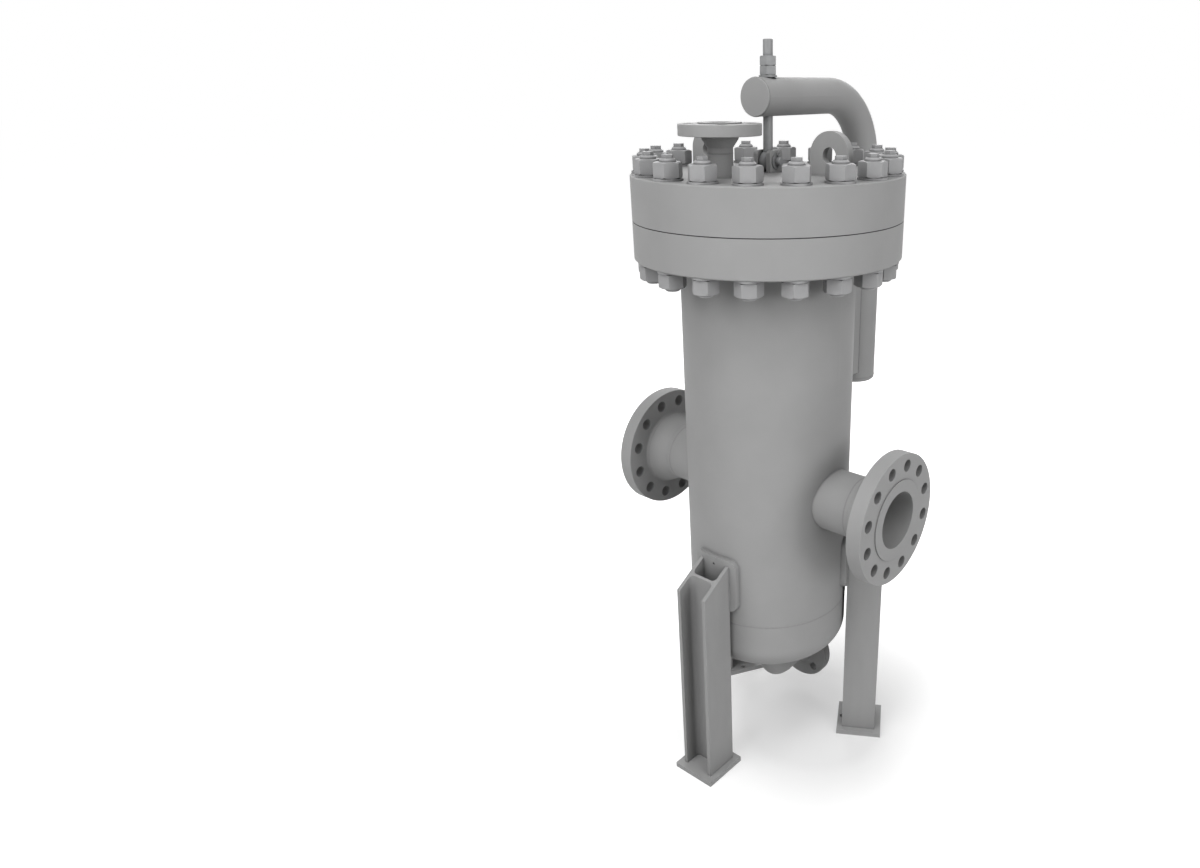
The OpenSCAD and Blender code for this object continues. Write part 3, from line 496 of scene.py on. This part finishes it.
def pad_edge():
    """The edge of a leg pad on the shell, for a pad on the +X side."""
    half_w = (PAD_HIGH.x - PAD_LOW.x) / 2
    half_h = (PAD_HIGH.z - PAD_LOW.z) / 2
    middle = (PAD_HIGH.z + PAD_LOW.z) / 2
    flat = []
    for sx, sz, start in ((1, 1, 0), (-1, 1, 90), (-1, -1, 180), (1, -1, 270)):
        for i in range(9):
            a = math.radians(start + 90 * i / 8)
            flat.append(Vector((0, sx * (half_w - PAD_CORNER) + PAD_CORNER * math.cos(a),
                                sz * (half_h - PAD_CORNER) + PAD_CORNER * math.sin(a))))
    edge = []
    for first, second in zip(flat, flat[1:] + flat[:1]):
        edge += line(first, second)[:-1]
    return [Vector((math.sqrt(SHELL_R ** 2 - p.y ** 2), p.y, middle + p.z)) for p in edge]


def leg_welds(run, angle):
    """A leg's welds to its pad and to its base plate."""
    half_b = (LEG_HIGH.x - LEG_LOW.x) / 2
    inner, outer = -LEG_HIGH.y, -LEG_LOW.y
    for side in (-1, 1):
        for y in (side * half_b, side * (half_b - LEG_FLANGE_T)):
            x = math.sqrt(PAD_R ** 2 - y ** 2)
            upright = line((x, y, PAD_LOW.z + PAD_WELD_START), (x, y, LEG_HIGH.z - LEG_WELD_STOP))
            run.lay(turned(upright, angle), FILLET_WELD, closed=False)
            along = line((inner, y, FOOT_TOP), (outer, y, FOOT_TOP))
            run.lay(turned(along, angle), FILLET_WELD, closed=False)
    run.lay(turned(pad_edge(), angle), FILLET_WELD)


def housing_welds():
    """Every weld that stays with the vessel."""
    run = WeldRun(seed=3)
    sunk = BUTT_WELD - BUTT_RISE
    run.lay(circle((0, 0, SEAM_Z), SHELL_R - sunk, "z"), BUTT_WELD)
    run.lay(circle((0, 0, FLANGE_Z), SHELL_R, "z"), FILLET_WELD)
    for side in (-1, 1):
        run.lay(saddle(side), FILLET_WELD)
        run.lay(circle((side * NOZZLE_HUB_X, 0, NOZZLE_Z), NOZZLE_R - sunk, "x"), BUTT_WELD)
    run.lay(circle((0, 0, HEAD_LOW + DRAIN_WELD_RISE), BRANCH_R, "z"), FILLET_WELD)
    run.lay(circle((0, 0, DRAIN_Z + DRAIN_BEND), BRANCH_R - sunk, "z"), BUTT_WELD)
    run.lay(circle((0, DRAIN_BEND, DRAIN_Z), BRANCH_R - sunk, "y"), BUTT_WELD)
    run.lay(circle((0, DRAIN_HIGH.y, DRAIN_Z), BRANCH_R - sunk, "y"), BUTT_WELD)
    run.lay(circle((0, SOCKET_Y, SOCKET_LOW.z), SOCKET_R - sunk, "z"), BUTT_WELD)
    for side in (-1, 1):
        for x in (side * BRACKET_HIGH.x, side * (BRACKET_HIGH.x - BRACKET_T)):
            for y in (math.sqrt(SHELL_R ** 2 - x ** 2), SOCKET_Y - math.sqrt(SOCKET_R ** 2 - x ** 2)):
                run.lay(line((x, y, BRACKET_LOW.z), (x, y, BRACKET_HIGH.z)), FILLET_WELD, closed=False)
    for angle in LEG_ANGLES:
        leg_welds(run, angle)
    run.finish("housing_welds", "housing")


def foot_of(node):
    """The four corners of an upright plate where it stands on the cover."""
    low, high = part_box(node)
    return [Vector((x, y, COVER_Z)) for x, y in
            ((low.x, low.y), (high.x, low.y), (high.x, high.y), (low.x, high.y))]


def cover_welds():
    """Every weld on the cover."""
    run = WeldRun(seed=5)
    sunk = BUTT_WELD - BUTT_RISE
    run.lay(circle((0, VENT_Y, COVER_Z), BRANCH_R, "z"), FILLET_WELD)
    run.lay(circle((0, VENT_Y, VENT_HIGH.z), BRANCH_R - sunk, "z"), BUTT_WELD)
    for node in ("lug_right", "lug_left"):
        run.lay(loop(foot_of(node)), FILLET_WELD)
    run.finish("cover_welds", "cover")


def davit_welds():
    """The weld round the plate that closes the arm."""
    run = WeldRun(seed=7)
    centre = (0, CAP_HIGH.y, (CAP_LOW.z + CAP_HIGH.z) / 2)
    run.lay(circle(centre, (CAP_HIGH.x - CAP_LOW.x) / 2, "y"), CAP_WELD)
    run.finish("davit_welds", "davit")


# Camera fitted to the photograph: where it stands, and its pinhole in pixels
PHOTO_W = 1200
FOCAL_PX = 868.0
CENTRE_PX = 768.45
SENSOR_MM = 36
CAMERA_AZIMUTH = 38.29
CAMERA_DOWN = 21.92
CAMERA_REACH = 2.2561
CAMERA_HEIGHT = 1.8722
CAMERA_ROLL = -0.00155
CAMERA_FAR = 200

# Where the softboxes stand and look
LAMP_DISTANCE = 6.0
LAMP_TARGET = Vector((0, 0, 0.95))

# The floor: how far it goes, and where its own glow rises from little, under the object, to white
FLOOR_REACH = 60
FLOOR_COLOUR = "#cccccc"
FLOOR_LIFT = 0.34
FLOOR_SPREAD = (0.22, 0.75)
SHADOW_MIDDLE = (0.12, 0.08, 0)


def place_camera():
    """The camera at the photograph's viewpoint; the object stands right of the picture's middle."""
    data = bpy.data.cameras.new("camera")
    data.sensor_width = SENSOR_MM
    data.lens = FOCAL_PX / PHOTO_W * SENSOR_MM
    data.shift_x = (PHOTO_W / 2 - CENTRE_PX) / PHOTO_W
    data.clip_end = CAMERA_FAR
    camera = bpy.data.objects.new("camera", data)
    azimuth = math.radians(CAMERA_AZIMUTH)
    away = Vector((math.sin(azimuth), -math.cos(azimuth), 0))
    camera.location = CAMERA_REACH * away + Vector((0, 0, CAMERA_HEIGHT))
    camera.rotation_euler = (math.radians(90 - CAMERA_DOWN), 0, azimuth)
    camera.rotation_euler.rotate_axis("Z", CAMERA_ROLL)
    bpy.context.scene.collection.objects.link(camera)
    bpy.context.scene.camera = camera


def soft_lamp(name, azimuth, elevation, power, size):
    """A square softbox that looks at the object from a direction in degrees."""
    data = bpy.data.lights.new(name, "AREA")
    data.shape = "SQUARE"
    data.size = size
    data.energy = power
    lamp = bpy.data.objects.new(name, data)
    a, e = math.radians(azimuth), math.radians(elevation)
    away = Vector((math.sin(a) * math.cos(e), -math.cos(a) * math.cos(e), math.sin(e)))
    lamp.location = LAMP_TARGET + LAMP_DISTANCE * away
    lamp.rotation_euler = away.to_track_quat("Z", "Y").to_euler()
    bpy.context.scene.collection.objects.link(lamp)


def backdrop_factor(tree):
    """1 for rays that show the backdrop itself: camera, glossy and transmission rays."""
    path = add(tree, "ShaderNodeLightPath")
    seen = path.outputs["Is Camera Ray"]
    for ray in ("Is Glossy Ray", "Is Transmission Ray"):
        seen = add(tree, "ShaderNodeMath", {0: seen, 1: path.outputs[ray]}, operation="MAXIMUM").outputs[0]
    return seen


def white_floor():
    """A pale seamless floor that keeps the soft shadow and reads white away from it."""
    bm = bmesh.new()
    bmesh.ops.create_grid(bm, x_segments=1, y_segments=1, size=FLOOR_REACH)
    mesh = bpy.data.meshes.new("floor")
    bm.to_mesh(mesh)
    bm.free()
    floor = bpy.data.objects.new("floor", mesh)
    bpy.context.scene.collection.objects.link(floor)
    material = bpy.data.materials.new("pale_floor")
    material.use_nodes = True
    tree = material.node_tree
    tree.nodes.clear()
    matt = add(tree, "ShaderNodeBsdfDiffuse", {"Color": linear(FLOOR_COLOUR)})
    place = add(tree, "ShaderNodeTexCoord").outputs["Object"]
    away = add(tree, "ShaderNodeVectorMath", {0: place, 1: SHADOW_MIDDLE}, operation="DISTANCE")
    level = ramp(tree, away.outputs["Value"], FLOOR_LIFT, 1, *FLOOR_SPREAD)
    lift = add(tree, "ShaderNodeMath", {0: backdrop_factor(tree), 1: level}, operation="MULTIPLY")
    glow = add(tree, "ShaderNodeEmission", {"Color": (1, 1, 1, 1), "Strength": lift.outputs[0]})
    both = add(tree, "ShaderNodeAddShader", {0: matt.outputs[0], 1: glow.outputs[0]})
    add(tree, "ShaderNodeOutputMaterial", {"Surface": both.outputs[0]})
    mesh.materials.append(material)


def white_world():
    """A sky that shows as white behind the object and in what mirrors it, and gives no light."""
    world = bpy.data.worlds.new("studio")
    world.use_nodes = True
    bpy.context.scene.world = world
    tree = world.node_tree
    tree.nodes.clear()
    sky = add(tree, "ShaderNodeBackground", {"Color": (1, 1, 1, 1), "Strength": backdrop_factor(tree)})
    add(tree, "ShaderNodeOutputWorld", {"Surface": sky.outputs[0]})


dress_nodes()
housing_welds()
cover_welds()
davit_welds()
place_camera()
white_world()
white_floor()
soft_lamp("left_high", azimuth=-10, elevation=55, power=91, size=4)
soft_lamp("left_low", azimuth=-10, elevation=25, power=125, size=4)
soft_lamp("right_floor", azimuth=80, elevation=12, power=90, size=2.2)
soft_lamp("right_low", azimuth=80, elevation=25, power=20, size=4)
soft_lamp("right_high", azimuth=80, elevation=55, power=68, size=4)
soft_lamp("front_high", azimuth=38, elevation=55, power=66, size=4)
soft_lamp("back_right", azimuth=203, elevation=32, power=105, size=4)
soft_lamp("back_left", azimuth=235, elevation=32, power=95, size=4)
bpy.context.scene.view_settings.view_transform = "Standard"
